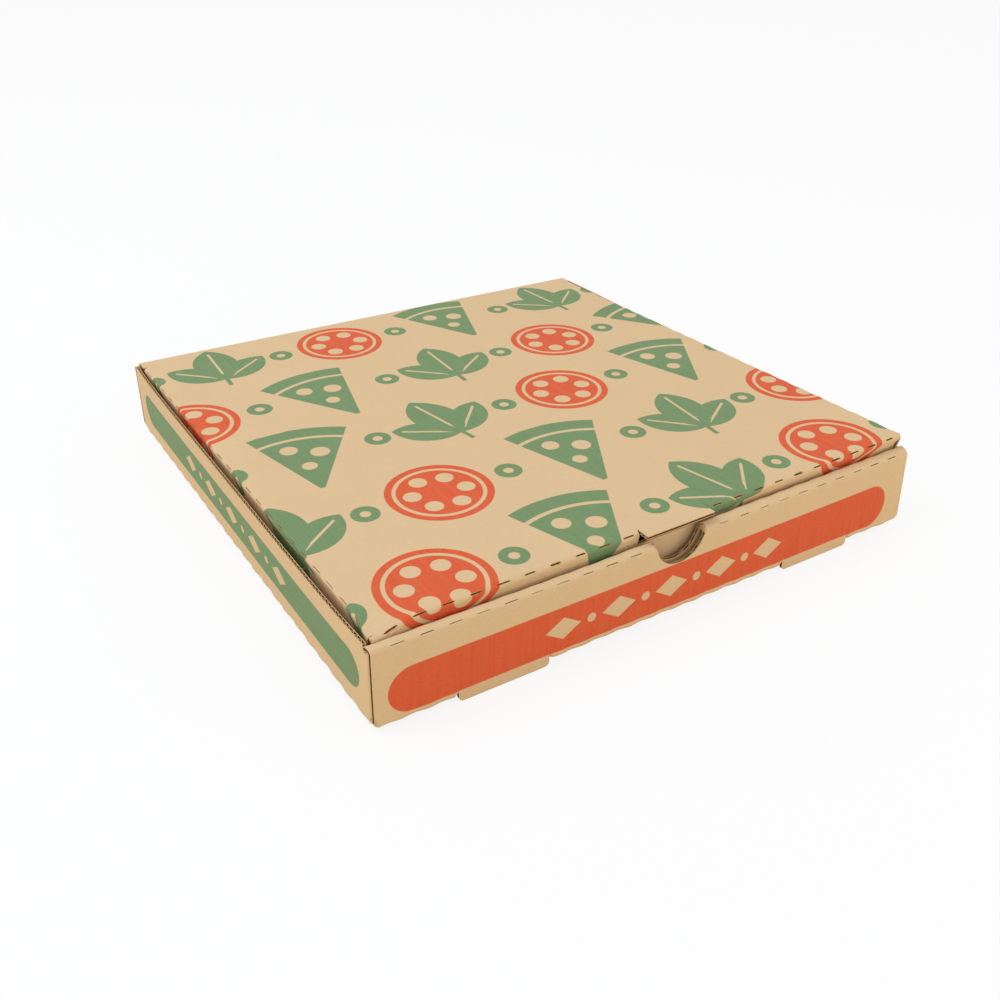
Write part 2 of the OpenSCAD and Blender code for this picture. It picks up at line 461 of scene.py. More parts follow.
def fold_lid(u, t, w):
    """Folds the flat lid and hangs it on its hinge; its outside face lies at w = 0."""
    w = w - lid_relief(u, t) * (1 - w / BOARD)
    x, y, z = u.copy(), -t, -w
    across = np.abs(u) - PANEL_U
    side = (across > 0) & (t > FLAP_START - CUT / 2)
    out, down = walk([(0, SIDE_TURN), (1, 0)], across, w)
    x[side] = (np.sign(u) * (PANEL_U + out))[side]
    z[side] = -down[side]
    ahead = t - LID_FRONT
    lip = (np.abs(u) < LIP_W / 2 + CUT / 2) & (t < LIP_END + CUT / 4)
    front = (ahead > 0) & ~lip
    out, down = walk([(0, FRONT_TURN), (1, 0)], ahead, w)
    x[front] = u[front]
    y[front] = -(LID_FRONT + out)[front]
    z[front] = -down[front]
    z = z + BOARD / 2
    lifted_y = HINGE_Y + y * math.cos(LIFT) + z * math.sin(LIFT)
    lifted_z = HINGE_Z - y * math.sin(LIFT) + z * math.cos(LIFT)
    return bend_lid(x, lifted_y, lifted_z)


def bend_lid(x, y, z):
    """The lid lifts at its front right, its front flap is pushed back, and its side flaps draw in."""
    share = np.clip((z - FOOT_DROP - BOARD) / (WALL_H - BOARD), 0, 1)
    forwards = np.clip((HINGE_Y - y) / LID_D, 0, 1)
    right = rightwards(x)
    tilt = LID_LEFT + (LID_RIGHT - LID_LEFT) * right
    rise = forwards * (tilt - LID_SAG * 4 * right * (1 - right))
    gap = np.hypot(x + PANEL_U, y - (HINGE_Y - LID_D))
    rise = rise - CORNER_DIP * np.exp(-((gap / DIP_REACH) ** 2))
    under = HINGE_Z + BOARD / 2 + (HINGE_Y - y) * math.sin(LIFT) - z
    at_flap = smoothstep(*PUSH_SPAN, under) * smoothstep(*PUSH_ZONE, forwards)
    at_side = smoothstep(PANEL_U - FOLD, PANEL_U, np.abs(x))
    inset = FLAP_INSET * smoothstep(*INSET_SPAN, under) * at_side
    bent_x = x + LID_SKEW * forwards - np.sign(x) * inset
    return bent_x, y + FLAP_PUSH * right * at_flap, z + rise * share


# Sheet meshing
# Material slots of the faces; the hollow slot is the painted shade inside the grooves
OUTER, INNER, EDGE, FLUTE, SHADED_HOLLOW = range(5)
INSIDE_ONLY = 1
MERGE_DISTANCE = 1e-4
MITRE_LIMIT = 0.5
SHARP_ANGLE = math.radians(38)

# Steps between the points of a mesh, and the parts that a crease is bent in
PANEL_STEP = 12
LID_STEP = 6
WALL_STEP = 4
FRONT_STEP = 3.5
INNER_STEP = 6
FLAP_STEP = 7
LID_FLAP_STEP = 5
CREASE_STEP = 2
PERF_STEP = 1.5
HINGE_STEP = 0.2
ARC_STEP = 0.09
CREASE_PARTS = 8


def anticlockwise(outline):
    u, v = np.array(outline).T
    area = np.sum(u * np.roll(v, -1) - v * np.roll(u, -1))
    return outline if area > 0 else outline[::-1]


def triangulate(sheets, holes, points):
    """Triangles that fill the sheets and leave the holes, and the hole beside each cut edge."""
    coords = []
    faces = []
    for outline in sheets + holes:
        faces.append(list(range(len(coords), len(coords) + len(outline))))
        coords.extend(anticlockwise(outline))
    coords.extend(points)
    vectors = [Vector((float(u), float(v))) for u, v in coords]
    verts, _, tris, _, _, origins = delaunay_2d_cdt(vectors, [], faces, INSIDE_ONLY, MERGE_DISTANCE)
    kept = []
    cut = []
    for tri, origin in zip(tris, origins):
        owners = [i - len(sheets) for i in origin if i >= len(sheets)]
        if owners:
            cut.append((tri, owners[0]))
        else:
            kept.append(tri)
    used = sorted({vertex for tri in kept for vertex in tri})
    number = {vertex: i for i, vertex in enumerate(used)}
    beside = {}
    for tri, owner in cut:
        for i in range(3):
            beside[(number.get(tri[i]), number.get(tri[i - 2]))] = owner
    flat = np.array([verts[vertex] for vertex in used])
    return flat, [tuple(number[vertex] for vertex in tri) for tri in kept], beside


def cut_edges(tris):
    """Directed edges that have a triangle on their left side only."""
    directed = set()
    for tri in tris:
        directed.update((tri[i], tri[i - 2]) for i in range(3))
    return sorted(edge for edge in directed if (edge[1], edge[0]) not in directed)


def outward_normals(flat, edges):
    """For each vertex on a cut edge, how far to go for one unit out of the sheet."""
    sums = {}
    for a, b in edges:
        step = flat[b] - flat[a]
        normal = np.array([step[1], -step[0]]) / np.linalg.norm(step)
        for vertex in (a, b):
            sums.setdefault(vertex, []).append(normal)
    result = {}
    for vertex, normals in sums.items():
        total = np.sum(normals, axis=0)
        result[vertex] = total / max(np.dot(total, normals[0]), MITRE_LIMIT)
    return result


class SheetMesh:
    """Points of a flat sheet, each with a depth, and the faces between them."""

    def __init__(self):
        self.flat = []
        self.depth = []
        self.faces = []
        self.slots = []

    def point(self, place, depth):
        self.flat.append((float(place[0]), float(place[1])))
        self.depth.append(float(depth))
        return len(self.flat) - 1

    def face(self, corners, slot):
        self.faces.append(tuple(corners))
        self.slots.append(slot)


def add_faces(sheet, flat, tris):
    """Both liners of the board."""
    outside = [sheet.point(place, 0) for place in flat]
    inside = [sheet.point(place, BOARD) for place in flat]
    for a, b, c in tris:
        sheet.face((outside[c], outside[b], outside[a]), OUTER)
        sheet.face((inside[a], inside[b], inside[c]), INNER)
    return outside, inside


def add_rim(sheet, flat, edges, raw, outside, inside):
    """Cut edges of the board: plain walls, or liners with a groove between them, whose inner faces
    carry painted shade.
    """
    normals = outward_normals(flat, edges)
    rings = {}

    def ring(vertex, grooved):
        key = (vertex, grooved)
        if key not in rings:
            place = flat[vertex]
            levels = []
            if grooved:
                inset = place - normals[vertex] * GROOVE
                levels.append(sheet.point(place, BOARD - LINER))
                levels.append(sheet.point(inset, BOARD - LINER))
                levels.append(sheet.point(inset, LINER))
                levels.append(sheet.point(place, LINER))
            rings[key] = [inside[vertex], *levels, outside[vertex]]
        return rings[key]

    for edge in edges:
        grooved = edge in raw
        a, b = (ring(vertex, grooved) for vertex in edge)
        for i in range(len(a) - 1):
            # The groove's inner faces take the painted shade
            deep = grooved and i in (1, 2, 3)
            sheet.face((b[i], a[i], a[i + 1], b[i + 1]), SHADED_HOLLOW if deep else EDGE)


def medium_depth(place):
    """Depth of the fluted medium's middle under the outside face."""
    swing = BOARD / 2 - LINER - MEDIUM / 2
    drift = DRIFT * math.sin(place[0] / DRIFT_LENGTH) + DRIFT_SLOPE * place[0]
    return BOARD / 2 + swing * math.sin(2 * math.pi * place[1] / FLUTE_PITCH + drift)


def add_medium(sheet, flat, fluted):
    """Fluted paper that shows in the groove of a raw edge."""
    for a, b in sorted(fluted):
        start, end = flat[a], flat[b]
        step = end - start
        length = np.linalg.norm(step)
        outward = np.array([step[1], -step[0]]) / length
        count = max(1, math.ceil(abs(step[1]) / FLUTE_PITCH * FLUTE_SAMPLES))
        rows = []
        for share in np.linspace(0, 1, count + 1):
            place = start + step * share
            front = place - outward * MEDIUM_RECESS
            back = place - outward * GROOVE
            levels = []
            for spot in (front, back):
                for offset in (-MEDIUM / 2, MEDIUM / 2):
                    levels.append(sheet.point(spot, medium_depth(spot) + offset))
            rows.append(levels)
        for near, far in zip(rows, rows[1:]):
            sheet.face((near[0], near[2], far[2], far[0]), FLUTE)
            sheet.face((near[1], far[1], far[3], near[3]), FLUTE)
            sheet.face((near[0], far[0], far[1], near[1]), FLUTE)


def new_object(name, data):
    thing = bpy.data.objects.new(name, data)
    bpy.context.scene.collection.objects.link(thing)
    return thing


def mesh_object(name, places, faces, slots, flat, materials):
    """Mesh object from millimetre places, with the flat place of each point kept for the print."""
    mesh = bpy.data.meshes.new(name)
    mesh.from_pydata((np.array(places) * MM).tolist(), [], faces)
    mesh.polygons.foreach_set("material_index", slots)
    mesh.polygons.foreach_set("use_smooth", [True] * len(faces))
    mesh.attributes.new("flat", "FLOAT_VECTOR", "POINT")
    spread_out = np.zeros((len(places), 3), np.float32)
    spread_out[:, :2] = flat
    mesh.attributes["flat"].data.foreach_set("vector", spread_out.ravel())
    mesh.set_sharp_from_angle(angle=SHARP_ANGLE)
    mesh.validate()
    for material in materials:
        mesh.materials.append(material)
    return new_object(name, mesh)


def make_sheet(name, sheets, cuts, slits, points, joined, crushed, fold, materials):
    """Folded board of one blank. Cuts have raw edges, and slits and joined edges are plain.

    At a crushed edge the flutes are pressed back, so that the groove shows only its dark painted
    shade.
    """
    flat, tris, beside = triangulate(sheets, cuts + slits, points)
    edges = cut_edges(tris)
    raw = set()
    fluted = set()
    for edge in edges:
        hole = beside.get((edge[1], edge[0]))
        in_slit = hole is not None and hole >= len(cuts)
        middle = (flat[edge[0]] + flat[edge[1]]) / 2
        if in_slit or joined(middle):
            continue
        raw.add(edge)
        if not crushed(middle):
            fluted.add(edge)
    sheet = SheetMesh()
    outside, inside = add_faces(sheet, flat, tris)
    add_rim(sheet, flat, edges, raw, outside, inside)
    add_medium(sheet, flat, fluted)
    places = np.array(sheet.flat)
    folded = fold(places[:, 0], places[:, 1], np.array(sheet.depth))
    return mesh_object(name, np.stack(folded, axis=1), sheet.faces, sheet.slots, places, materials)


# Tray blank
def front_strip(half_width, start, end):
    return rectangle(-half_width, half_width, -HALF_V - end, -HALF_V - start)


def bottom_crease():
    """Crease under the front wall, or flipped under the back wall, mitred at its ends."""
    right = [(HALF_U, -HALF_V), (BOX_W / 2, -HALF_V - SQUARE)]
    return right + mirrored(right[::-1])


def tray_sheets():
    top = HALF_U + SQUARE + SIDE_RISE
    step_top = top - (WALL_H - UNDER_RIDGE)
    step_end = RIDGE_D + PLY_GAP - BOX_D / 2
    flap_low = BOX_W / 2 + CUT / 2
    foot_top = flap_low - CUT / 5
    wall = [
        (HALF_U, -HALF_V),
        (foot_top, -HALF_V),
        (foot_top, -SIDE_LEN / 2),
        (step_top, -SIDE_LEN / 2),
        (step_top, step_end),
        (top, step_end),
        (top, SIDE_LEN / 2),
        (foot_top, SIDE_LEN / 2),
        (foot_top, HALF_V),
        (HALF_U, HALF_V),
    ]
    flap_h = step_top - PLY_GAP - flap_low
    flap_u = flap_low + flap_h / 2
    front_dust = flap(flap_h / 2, SIDE_LEN / 2, SQUARE, FRONT_DUST - FOLD)
    rear_dust = flap(flap_h / 2, SIDE_LEN / 2, SQUARE, REAR_DUST - FOLD)
    right = [wall, flipped(shifted(front_dust, flap_u, 0)), shifted(rear_dust, flap_u, 0)]
    sheets = [rectangle(-HALF_U, HALF_U, -HALF_V, HALF_V)]
    sheets += right + [mirrored(outline) for outline in right]
    front_crease = bottom_crease()
    sheets.append(front_crease)
    sheets.append(front_strip(BOX_W / 2, SQUARE, INNER_START))
    sheets.append(front_strip(TUCK_W / 2, INNER_START, INNER_END))
    tab_half = FOOT_W / 2 - LOCK_GAP
    for middle in (-FOOT_PITCH / 2, FOOT_PITCH / 2):
        sheets.append(shifted(front_strip(tab_half, INNER_END, TAB_END), middle, 0))
    sheets.append(flipped(front_crease))
    sheets.append(flipped(front_strip(BOX_W / 2, SQUARE, SQUARE + BACK_RISE)))
    return sheets


def tongue_cut(half, base, tip, end):
    """U-shaped cut that frees a tongue, which leaves the line v = base."""
    return [
        (-half, base),
        (-half - CUT, base),
        (-half - CUT, end),
        (half + CUT, end),
        (half + CUT, base),
        (half, base),
        (half, tip),
        (-half, tip),
    ]


def foot_cut(middle):
    """Cut that frees a lock foot from the bottom and leaves a slot for a tab."""
    corners = tongue_cut(FOOT_W / 2, -HALF_V - SQUARE, -HALF_V - FOOT_END, -HALF_V - SLOT_END)
    return shifted(rounded(corners, [0, 0, 0, 0, 0, 0, FOOT_R, FOOT_R]), middle, 0)


def notch_cut():
    """Thumb notch: one arc in the front panel and one in the inner wall."""
    rise = FOLD + NOTCH_RISE
    reach = math.acos(rise / NOTCH_R)
    outline = []
    for centre, side in ((PANEL_END + rise, -1), (INNER_START - rise, 1)):
        for angle in spread(-reach, reach, ARC_STEP):
            along = centre + side * NOTCH_R * math.cos(angle)
            outline.append((-side * NOTCH_R * math.sin(angle), -HALF_V - along))
    return outline


def tray_slits():
    slits = []
    for middle in (PANEL_END + SQUARE / 2, RIDGE_END + SQUARE / 2):
        for u in perforation(TUCK_W, NOTCH_R):
            slits.append(slit(u, -HALF_V - middle, RIDGE_SLIT))
    return slits


def tray_points():
    """Points that let the panels bow and the creases bend smoothly."""
    points = grid(spread(-HALF_U, HALF_U, PANEL_STEP), spread(-HALF_V, HALF_V, PANEL_STEP))
    crease = spread(0, SQUARE, SQUARE / CREASE_PARTS)
    rise = SQUARE + spread(0, SIDE_RISE, WALL_STEP)
    along = spread(-SIDE_LEN / 2, SIDE_LEN / 2, WALL_STEP)
    fine_along = spread(-SIDE_LEN / 2, SIDE_LEN / 2, CREASE_STEP)
    for side in (-1, 1):
        points += grid(side * (HALF_U + crease), fine_along)
        points += grid(side * (HALF_U + rise), along)
        for end, reach in ((-1, FRONT_DUST), (1, REAR_DUST)):
            dust = np.concatenate([crease, SQUARE + spread(0, reach - FOLD, FLAP_STEP)])
            points += grid(side * (HALF_U + rise), end * (SIDE_LEN / 2 + dust))
    wide = spread(-HALF_U, HALF_U, WALL_STEP)
    fine_wide = spread(-HALF_U, HALF_U, CREASE_STEP)
    points += grid(fine_wide, -HALF_V - crease)
    points += grid(wide, -HALF_V - SQUARE - spread(0, FRONT_RISE, FRONT_STEP))
    points += grid(fine_wide, HALF_V + crease)
    points += grid(wide, HALF_V + SQUARE + spread(0, BACK_RISE, FLAP_STEP))
    fine = spread(-BOX_W / 2, BOX_W / 2, PERF_STEP)
    for start in (PANEL_END, RIDGE_END):
        points += grid(fine, -HALF_V - start - crease)
    points += grid(fine, [-HALF_V - (RIDGE_START + RIDGE_END) / 2])
    points += grid(wide, -HALF_V - INNER_START - spread(0, INNER_RISE, INNER_STEP))
    return points


def at_hinge(place):
    return place[1] > HINGE_START - CUT / 4


def at_wall_end(place):
    """True at the ends of the front and back walls, where the sheet is creased hard."""
    return abs(abs(place[0]) - BOX_W / 2) < CUT / 8 and abs(place[1]) > HALF_V


def make_tray(materials):
    cuts = [notch_cut()]
    cuts += [foot_cut(middle) for middle in (-FOOT_PITCH / 2, FOOT_PITCH / 2)]
    blank = (tray_sheets(), cuts, tray_slits(), tray_points())
    return make_sheet("tray_board", *blank, at_hinge, at_wall_end, fold_tray, materials)


# Lid blank
def front_flap():
    """Front flap, a little wider than its crease."""
    half = PANEL_U + FLAP_OVER
    tip = half - TAPER
    start = LID_FRONT + CUT / 2
    bent = LID_FRONT + FRONT_CREASE
    right = [
        (PANEL_U, LID_FRONT),
        (PANEL_U, start),
        (half, start),
        (half, bent),
        (tip, bent + FRONT_FLAP),
    ]
    radii = [0, 0, 0, 0, FLAP_CORNER_R]
    return rounded(right + mirrored(right[::-1]), radii + radii[::-1])


def lid_sheets():
    length = LID_FRONT - FLAP_START
    side = turned(flap(length / 2, PANEL_U, SIDE_CREASE, SIDE_FLAP - FOLD))
    side = shifted(side, 0, FLAP_START + length / 2)
    return [
        rectangle(-PANEL_U, PANEL_U, LID_START, LID_FRONT),
        rectangle(-TUCK_W / 2, TUCK_W / 2, LID_START, FLAP_START - CUT),
        front_flap(),
        side,
        mirrored(side),
    ]


def lid_slits():
    slits = []
    for u in perforation(2 * PANEL_U, LIP_W / 2 + CUT):
        slits.append(slit(u, LID_FRONT + FRONT_CREASE / 2, FRONT_SLIT))
    length = LID_FRONT - FLAP_START
    for t in perforation(length):
        for side in (-1, 1):
            cut = slit(t + FLAP_START + length / 2, side * (PANEL_U + SIDE_CREASE / 2), SIDE_SLIT)
            slits.append(turned(cut))
    return slits


def lid_points():
    points = grid(spread(-PANEL_U, PANEL_U, LID_STEP), spread(LID_START, LID_FRONT, LID_STEP))
    fine_u = spread(-PANEL_U, PANEL_U, PERF_STEP)
    points += grid(fine_u, LID_FRONT + spread(0, FRONT_CREASE, FRONT_CREASE / CREASE_PARTS))
    front_t = LID_FRONT + FRONT_CREASE + spread(0, FRONT_FLAP, LID_FLAP_STEP)
    points += grid(spread(-PANEL_U, PANEL_U, LID_FLAP_STEP), front_t)
    fine_t = spread(FLAP_START, LID_FRONT, PERF_STEP)
    crease = PANEL_U + spread(0, SIDE_CREASE, SIDE_CREASE / CREASE_PARTS)
    flap_u = PANEL_U + SIDE_CREASE + spread(0, SIDE_FLAP - FOLD, LID_FLAP_STEP)
    for side in (-1, 1):
        points += grid(side * crease, fine_t)
        points += grid(side * flap_u, spread(FLAP_START, LID_FRONT, LID_FLAP_STEP))
    return points


def at_lid_start(place):
    return place[1] < LID_START + CUT / 4


def at_hinge_end(place):
    """True at the ends of the lid's strip beside the hinge."""
    return abs(abs(place[0]) - TUCK_W / 2) < CUT / 8 and place[1] < FLAP_START


def make_lid(materials):
    lip_cut = tongue_cut(LIP_W / 2, LID_FRONT, LIP_END, WINDOW_END)
    blank = (lid_sheets(), [lip_cut], lid_slits(), lid_points())
    return make_sheet("lid_board", *blank, at_lid_start, at_hinge_end, fold_lid, materials)


# Hinge crease
def fold_hinge(u, v, w):
    along, inwards = walk([(0, HINGE_TURN), (1, 0)], v - HINGE_START, w)
    return u, BOX_D / 2 - inwards, HINGE_Z + BOARD / 2 - FOLD + along


def everywhere(place):
    return True


def make_hinge_crease(materials):
    """Bent board between the back wall and the lid, folded as a crease at the hinge."""
    half = TUCK_W / 2
    end = HINGE_START + crease_length(HINGE_TURN)
    points = grid(spread(-half, half, PANEL_STEP), spread(HINGE_START, end, HINGE_STEP))
    blank = ([rectangle(-half, half, HINGE_START, end)], [], [], points)
    return make_sheet("hinge_crease", *blank, everywhere, everywhere, fold_hinge, materials)


# Materials
KRAFT = (0.755, 0.538, 0.305)
KRAFT_INSIDE = (0.640, 0.455, 0.265)
CUT_LINER = (0.745, 0.500, 0.255)
FLUTING = (0.600, 0.375, 0.160)
# Painted shade: dark colour for the hollow inside the groove of a cut edge
GROOVE_SHADE = (0.200, 0.105, 0.040)

# Inks, as the share of the paper's light that they let through
GREEN = (0.180, 0.495, 0.370)
RED = (0.975, 0.146, 0.044)


# Surfaces
PAPER_ROUGHNESS = 0.85
INK_ROUGHNESS = 0.65
INSIDE_ROUGHNESS = 0.88
RAW_ROUGHNESS = 0.92
SPECULAR = 0.25
FIBRE_BUMP = 0.05
WASHBOARD = 0.025
NOISE_SPAN = (0.3, 0.7)
FIBRE_STRETCH = (0.35, 1.6, 1.0)
BUMP_STRETCH = (0.3, 1.8, 1.0)
STREAK_STRETCH = (1.0, 0.05, 1.0)


class Graph:
    """The nodes of a material or of the world, with short ways to add and link them."""

    def __init__(self, owner):
        owner.use_nodes = True
        self.owner = owner
        self.tree = owner.node_tree

    def node(self, kind, inputs, **settings):
        node = self.tree.nodes.new(kind)
        for key, value in settings.items():
            setattr(node, key, value)
        for key, value in inputs.items():
            self.plug(node.inputs[key], value)
        return node

    def plug(self, socket, value):
        if isinstance(value, bpy.types.NodeSocket):
            self.tree.links.new(value, socket)
        else:
            socket.default_value = value

    def math(self, operation, *values, clamp=False):
        inputs = dict(enumerate(values))
        return self.node("ShaderNodeMath", inputs, operation=operation, use_clamp=clamp).outputs[0]

    def times(self, first, second):
        return self.math("MULTIPLY", first, second)

    def minus(self, first, second):
        return self.math("SUBTRACT", first, second)

    def vector(self, operation, *values):
        inputs = dict(enumerate(values))
        node = self.node("ShaderNodeVectorMath", inputs, operation=operation)
        return node.outputs["Value" if operation in ("DISTANCE", "LENGTH") else "Vector"]

    def combine(self, x, y, z=0.0):
        return self.node("ShaderNodeCombineXYZ", {"X": x, "Y": y, "Z": z}).outputs[0]

    def noise(self, place, scale, detail=2.0, roughness=0.5):
        inputs = {"Vector": place, "Scale": scale, "Detail": detail, "Roughness": roughness}
        return self.node("ShaderNodeTexNoise", inputs).outputs["Fac"]

    def mix(self, share, first, second, blend="MIX"):
        node = self.node("ShaderNodeMix", {}, data_type="RGBA", blend_type=blend)
        self.plug(node.inputs["Factor"], share)
        self.plug(node.inputs[6], first)
        self.plug(node.inputs[7], second)
        return node.outputs[2]

    def rotate(self, place, angle):
        inputs = {"Vector": place, "Angle": angle}
        return self.node("ShaderNodeVectorRotate", inputs, rotation_type="Z_AXIS").outputs[0]

    def span(self, value, low, high, out_low, out_high):
        inputs = {"Value": value, 1: low, 2: high, 3: out_low, 4: out_high}
        return self.node("ShaderNodeMapRange", inputs).outputs[0]


def paper_graph(name):
    """Graph of a new paper, and the place on the flat blank, so that print runs over the creases."""
    graph = Graph(bpy.data.materials.new(name))
    return graph, graph.node("ShaderNodeAttribute", {}, attribute_name="flat").outputs["Vector"]


def split(graph, place):
    node = graph.node("ShaderNodeSeparateXYZ", {"Vector": place})
    return node.outputs["X"], node.outputs["Y"]


def uneven(graph, place, low, high, **noise):
    """Noise that swings between two values."""
    return graph.span(graph.noise(place, **noise), *NOISE_SPAN, low, high)


def shaded(graph, colour, shade):
    return graph.vector("MULTIPLY", graph.combine(shade, shade, shade), colour)


def kraft(graph, place, colour):
    """Kraft paper's colour: clouds, short fibres and a few dark specks."""
    stretched = graph.vector("MULTIPLY", place, FIBRE_STRETCH)
    clouds = uneven(graph, place, low=0.985, high=1.015, scale=0.03, detail=3.0)
    fibres = uneven(graph, stretched, low=0.95, high=1.04, scale=1.2, detail=4.0, roughness=0.65)
    specks = graph.span(graph.noise(place, scale=0.9), low=0.70, high=0.78, out_low=1.0, out_high=0.90)
    shade = graph.times(graph.times(clouds, fibres), specks)
    return shaded(graph, colour, shade)


def surface(graph, place, colour, roughness, washboard=WASHBOARD):
    """Connects a paper surface: its colour, and the bump of its fibres and of the flutes under it."""
    shader = graph.tree.nodes["Principled BSDF"]
    stretched = graph.vector("MULTIPLY", place, BUMP_STRETCH)
    noise = graph.noise(stretched, scale=1.6, detail=4.0, roughness=0.6)
    fibres = graph.times(noise, FIBRE_BUMP)
    _, v = split(graph, place)
    ripple = graph.math("SINE", graph.times(v, 2 * math.pi / FLUTE_PITCH))
    height = graph.math("MULTIPLY_ADD", ripple, washboard, fibres)
    bump = graph.node("ShaderNodeBump", {"Strength": 1.0, "Distance": MM, "Height": height})
    graph.plug(shader.inputs["Base Color"], colour)
    graph.plug(shader.inputs["Normal"], bump.outputs[0])
    graph.plug(shader.inputs["Roughness"], roughness)
    shader.inputs["Specular IOR Level"].default_value = SPECULAR


# Print
INK_EDGE = 0.35


def coverage(graph, distance):
    """Ink cover inside a shape, from the distance to its outline."""
    return graph.math("MULTIPLY_ADD", distance, -1 / INK_EDGE, 0.5, clamp=True)


def inked(graph, place, paper, cover, ink):
    """Flexographic ink on kraft: a little mottled, with paper showing through."""
    mottle = uneven(graph, place, low=0.9, high=1.0, scale=1.4, detail=3.0, roughness=0.6)
    stretched = graph.vector("MULTIPLY", place, STREAK_STRETCH)
    streaks = uneven(graph, stretched, low=0.94, high=1.0, scale=0.5)
    share = graph.times(cover, graph.times(mottle, streaks))
    return graph.mix(share, paper, graph.vector("MULTIPLY", paper, ink))


def disc(graph, place, centre, radius):
    return graph.minus(graph.vector("DISTANCE", place, (*centre, 0.0)), radius)


def union(graph, first, *others):
    for other in others:
        first = graph.math("MINIMUM", first, other)
    return first


def overlap(graph, first, *others):
    for other in others:
        first = graph.math("MAXIMUM", first, other)
    return first


def without(graph, shape, *others):
    return overlap(graph, shape, *(graph.times(other, -1.0) for other in others))


def band(graph, value, middle, half):
    """Distance to a strip of the given half width round a value."""
    return graph.minus(graph.math("ABSOLUTE", graph.minus(value, middle)), half)


def slice_motif(graph, place):
    """Wedge with its point to the front, a gap under its crust, and round holes for the toppings."""
    length = 55
    half_angle = math.radians(23)
    rounding = 2.0
    crust = 8
    half_gap = 1.1
    toppings = (((-7.0, -9.0), 4.2), ((6.5, -3.5), 4.6), ((-1.0, 8.5), 3.6))
    apex = graph.vector("SUBTRACT", place, (0.0, length / 2, 0.0))
    x, y = split(graph, apex)
    slope = graph.times(y, math.sin(half_angle))
    sides = graph.math("MULTIPLY_ADD", graph.math("ABSOLUTE", x), math.cos(half_angle), slope)
    reach = graph.vector("LENGTH", apex)
    wedge = overlap(graph, sides, graph.minus(reach, length))
    wedge = graph.minus(wedge, rounding)
    crust_gap = band(graph, reach, length - crust, half_gap)
    holes = [disc(graph, place, centre, radius) for centre, radius in toppings]
    return without(graph, wedge, crust_gap, *holes)


def leaf(graph, place, angle, length, half_width):
    """Leaf between two arcs, with a bare midrib, growing from the origin."""
    half_rib = 0.7
    rib_margin = 5
    turned_place = graph.rotate(place, angle)
    half = length / 2
    radius = (half * half + half_width * half_width) / (2 * half_width)
    offset = radius - half_width
    sides = [disc(graph, turned_place, (half, side * offset), radius) for side in (-1, 1)]
    x, y = split(graph, turned_place)
    rib = overlap(graph, band(graph, y, 0.0, half_rib), band(graph, x, half, half - rib_margin))
    return without(graph, overlap(graph, *sides), rib)


def sprig_motif(graph, place):
    """Three leaves on one stem."""
    foot_down = 15.0
    fullness = 0.28
    half_stem = 1.2
    stem_middle = 4.0
    stem_reach = 4.5
    foot = graph.vector("SUBTRACT", place, (0.0, foot_down, 0.0))
    leaves = []
    for turn, size in ((-50, 34), (0, 42), (50, 34)):
        leaves.append(leaf(graph, foot, math.radians(90 + turn), size, size * fullness))
    x, y = split(graph, foot)
    stem = overlap(graph, band(graph, x, 0.0, half_stem), band(graph, y, stem_middle, stem_reach))
    return union(graph, *leaves, stem)


def tomato_motif(graph, place):
    """Cut tomato: a round with a bare ring and seed pockets."""
    radius = 24
    pockets = 6
    pocket_out = 12.4
    pocket_radius = 4.1
    ring_in = 4.2
    half_ring = 0.9
    x, y = split(graph, place)
    reach = graph.vector("LENGTH", place)
    angle = graph.math("ARCTAN2", y, x)
    folded = graph.math("PINGPONG", angle, math.pi / pockets)
    inner = graph.combine(
        graph.times(reach, graph.math("COSINE", folded)),
        graph.times(reach, graph.math("SINE", folded)),
    )
    pocket = disc(graph, inner, (pocket_out, 0.0), pocket_radius)
    ring = band(graph, reach, radius - ring_in, half_ring)
    return without(graph, graph.minus(reach, radius), pocket, ring)


CELL_U = 71
CELL_T = 59
FIRST_ROW = 0.5
TILT = 0.22
RING_RADIUS = 4.4
HALF_RING = 2.0
MOTIFS = 3
COUNT_FROM = 30
SAME = 0.1


def of_kind(graph, kind, index, shape):
    """Ink cover of a motif, in the cells of its own kind."""
    here = graph.math("COMPARE", kind, float(index), SAME)
    return graph.times(coverage(graph, shape), here)


def lid_print(graph, place, paper):
    """Slices, sprigs and tomatoes in staggered rows, with small rings between them."""
    u, t = split(graph, place)
    row_place = graph.math("DIVIDE", graph.minus(t, FIRST_ROW), CELL_T)
    row = graph.math("FLOOR", row_place)
    stagger = graph.times(graph.math("MODULO", row, 2.0), 0.5)
    column_place = graph.math("ADD", graph.math("DIVIDE", u, CELL_U), stagger)
    column = graph.math("FLOOR", column_place)
    across = graph.math("MULTIPLY_ADD", graph.math("FRACT", column_place), CELL_U, -CELL_U / 2)
    down = graph.math("MULTIPLY_ADD", graph.math("FRACT", row_place), CELL_T, -CELL_T / 2)
    cell = {"Vector": graph.combine(column, row)}
    tilt = graph.node("ShaderNodeTexWhiteNoise", cell).outputs["Value"]
    tilt = graph.span(tilt, 0.0, 1.0, -TILT, TILT)
    local = graph.rotate(graph.combine(across, down), tilt)
    to_edge = graph.minus(graph.math("ABSOLUTE", across), CELL_U / 2)
    to_ring = graph.vector("LENGTH", graph.combine(to_edge, down))
    ring = band(graph, to_ring, RING_RADIUS, HALF_RING)
    order = graph.math("ADD", graph.math("ADD", column, row), COUNT_FROM)
    kind = graph.math("MODULO", order, MOTIFS)
    slices = of_kind(graph, kind, 0, slice_motif(graph, local))
    sprigs = of_kind(graph, kind, 1, sprig_motif(graph, local))
    red = of_kind(graph, kind, 2, tomato_motif(graph, local))
    green = graph.math("ADD", slices, sprigs)
    green = graph.math("MAXIMUM", green, coverage(graph, ring))
    paper = inked(graph, place, paper, green, GREEN)
    return inked(graph, place, paper, red, RED), graph.math("ADD", green, red)


